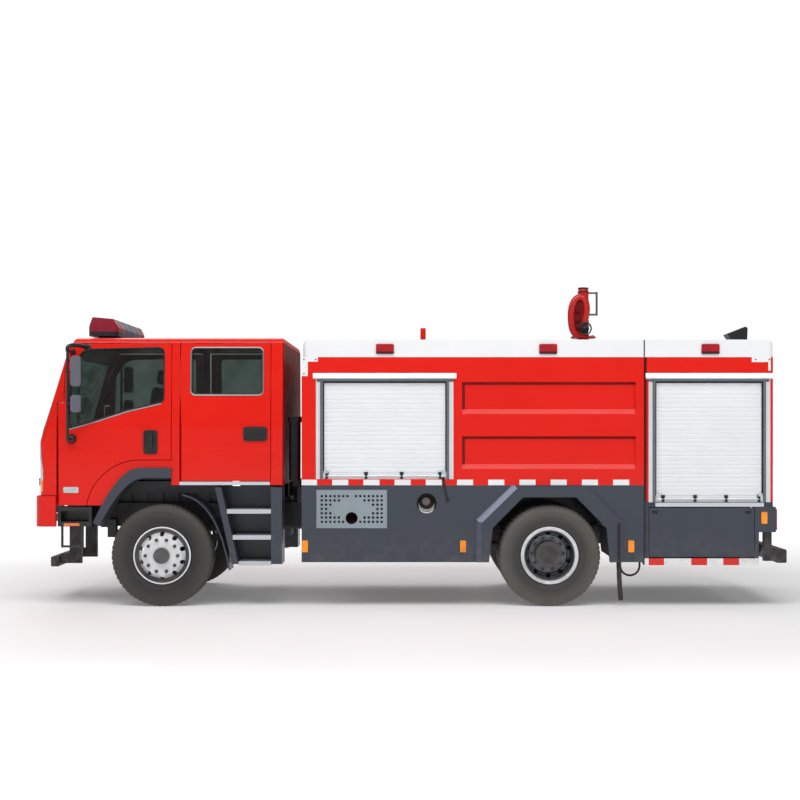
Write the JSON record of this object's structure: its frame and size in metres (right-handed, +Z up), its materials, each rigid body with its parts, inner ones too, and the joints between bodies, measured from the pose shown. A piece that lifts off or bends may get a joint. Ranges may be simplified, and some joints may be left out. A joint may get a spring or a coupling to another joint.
{
  "type": "fire truck",
  "caption": "Crew-cab fire truck with roller-shutter lockers, roof water monitor, hinged doors, flip-down steps, steered front wheels and twin rear wheels.",
  "frame": {"origin": "on the ground below the middle of the truck's box", "axes": "+X forward, +Y to the truck's left, +Z up"},
  "size_m": [7.79, 2.85, 3.402],
  "materials": {
    "red_paint": "gloss",
    "slate_paint": "satin",
    "white_paint": "gloss",
    "black_frame": "satin",
    "black_plastic": "matte",
    "cast_steel": "rough",
    "bright_metal": "brushed",
    "wheel_paint": "satin",
    "tyre": "matte",
    "hose_rubber": "matte",
    "glass": "clear",
    "lamp_lens": "gloss",
    "seat_cover": "woven"
  },
  "bodies": {
    "chassis": {"chassis_frame": "black_frame", "powertrain": "cast_steel", "front_axle": "cast_steel", "rear_axle": "cast_steel", "under_fittings": "cast_steel", "tow_eyes": "cast_steel", "underrun_bars": "black_frame", "cab_floor": "black_plastic", "cab_front": "red_paint", "cab_frame": "red_paint", "cab_roof": "red_paint", "fenders": "red_paint", "windscreen": "glass", "dashboard": "black_plastic", "seats": "seat_cover", "grille": "black_plastic", "head_lamps": "lamp_lens", "front_bumper": "red_paint", "flares": "slate_paint", "steps": "slate_paint", "treads": "bright_metal", "light_bar": "lamp_lens", "tank_body": "red_paint", "pump_body": "red_paint", "coaming": "white_paint", "shutters": "white_paint", "shutter_frames": "bright_metal", "side_skirts": "slate_paint", "vent_panels": "bright_metal", "lamps": "lamp_lens", "roof_fittings": "red_paint", "hose_glands": "cast_steel", "drain_hose": "hose_rubber", "loop_hose": "hose_rubber"},
    "knuckle_left": {"knuckle_left": "cast_steel"},
    "knuckle_right": {"knuckle_right": "cast_steel"},
    "wheel_fl": {"rim_fl": "wheel_paint", "tyre_fl": "tyre"},
    "wheel_fr": {"rim_fr": "wheel_paint", "tyre_fr": "tyre"},
    "wheel_rl": {"rim_rl": "wheel_paint", "tyre_rl": "tyre"},
    "wheel_rr": {"rim_rr": "wheel_paint", "tyre_rr": "tyre"},
    "door_fl": {"door_fl": "red_paint", "glass_fl": "glass", "trim_fl": "black_plastic"},
    "door_fr": {"door_fr": "red_paint", "glass_fr": "glass", "trim_fr": "black_plastic"},
    "door_rl": {"door_rl": "red_paint", "glass_rl": "glass", "handle_rl": "black_plastic"},
    "door_rr": {"door_rr": "red_paint", "glass_rr": "glass", "handle_rr": "black_plastic"},
    "flap_left": {"flap_left": "slate_paint"},
    "flap_right": {"flap_right": "slate_paint"},
    "monitor_head": {"monitor_head": "red_paint"},
    "monitor_barrel": {"monitor_barrel": "red_paint"}
  },
  "joints": [
    {"name": "steer_left", "type": "hinge", "parent": "chassis", "child": "knuckle_left", "pos_m": [2.55, 0.881, 0.526], "axis": [0, 0, 1], "range_deg": [-38, 38]},
    {"name": "steer_right", "type": "hinge", "parent": "chassis", "child": "knuckle_right", "pos_m": [2.55, -0.881, 0.526], "axis": [0, 0, 1], "range_deg": [-38, 38]},
    {"name": "spin_fl", "type": "hinge", "parent": "knuckle_left", "child": "wheel_fl", "pos_m": [2.55, 1.065, 0.526], "axis": [0, 1, 0], "continuous": true},
    {"name": "spin_fr", "type": "hinge", "parent": "knuckle_right", "child": "wheel_fr", "pos_m": [2.55, -1.065, 0.526], "axis": [0, 1, 0], "continuous": true},
    {"name": "spin_rl", "type": "hinge", "parent": "chassis", "child": "wheel_rl", "pos_m": [-1.45, 1.065, 0.526], "axis": [0, 1, 0], "continuous": true},
    {"name": "spin_rr", "type": "hinge", "parent": "chassis", "child": "wheel_rr", "pos_m": [-1.45, -1.065, 0.526], "axis": [0, 1, 0], "continuous": true},
    {"name": "door_fl_hinge", "type": "hinge", "parent": "chassis", "child": "door_fl", "pos_m": [3.59, 1.163, 1.9], "axis": [0, 0, -1], "range_deg": [0, 70]},
    {"name": "door_fr_hinge", "type": "hinge", "parent": "chassis", "child": "door_fr", "pos_m": [3.59, -1.163, 1.9], "axis": [0, 0, 1], "range_deg": [0, 70]},
    {"name": "door_rl_hinge", "type": "hinge", "parent": "chassis", "child": "door_rl", "pos_m": [2.323, 1.163, 1.9], "axis": [0, 0, -1], "range_deg": [0, 70]},
    {"name": "door_rr_hinge", "type": "hinge", "parent": "chassis", "child": "door_rr", "pos_m": [2.323, -1.163, 1.9], "axis": [0, 0, 1], "range_deg": [0, 70]},
    {"name": "flap_left_hinge", "type": "hinge", "parent": "chassis", "child": "flap_left", "pos_m": [-3, 1.22, 0.529], "axis": [-1, 0, 0], "range_deg": [0, 90]},
    {"name": "flap_right_hinge", "type": "hinge", "parent": "chassis", "child": "flap_right", "pos_m": [-3, -1.22, 0.529], "axis": [1, 0, 0], "range_deg": [0, 90]},
    {"name": "monitor_turn", "type": "hinge", "parent": "chassis", "child": "monitor_head", "pos_m": [-1.935, 0, 2.85], "axis": [0, 0, 1], "range_deg": [-170, 170]},
    {"name": "monitor_tilt", "type": "hinge", "parent": "monitor_head", "child": "monitor_barrel", "pos_m": [-1.935, 0, 3.012], "axis": [0, 1, 0], "range_deg": [0, 105]}
  ],
  "couplings": [
    {"joint": "steer_right", "follows": "steer_left", "ratio": 1}
  ]
}
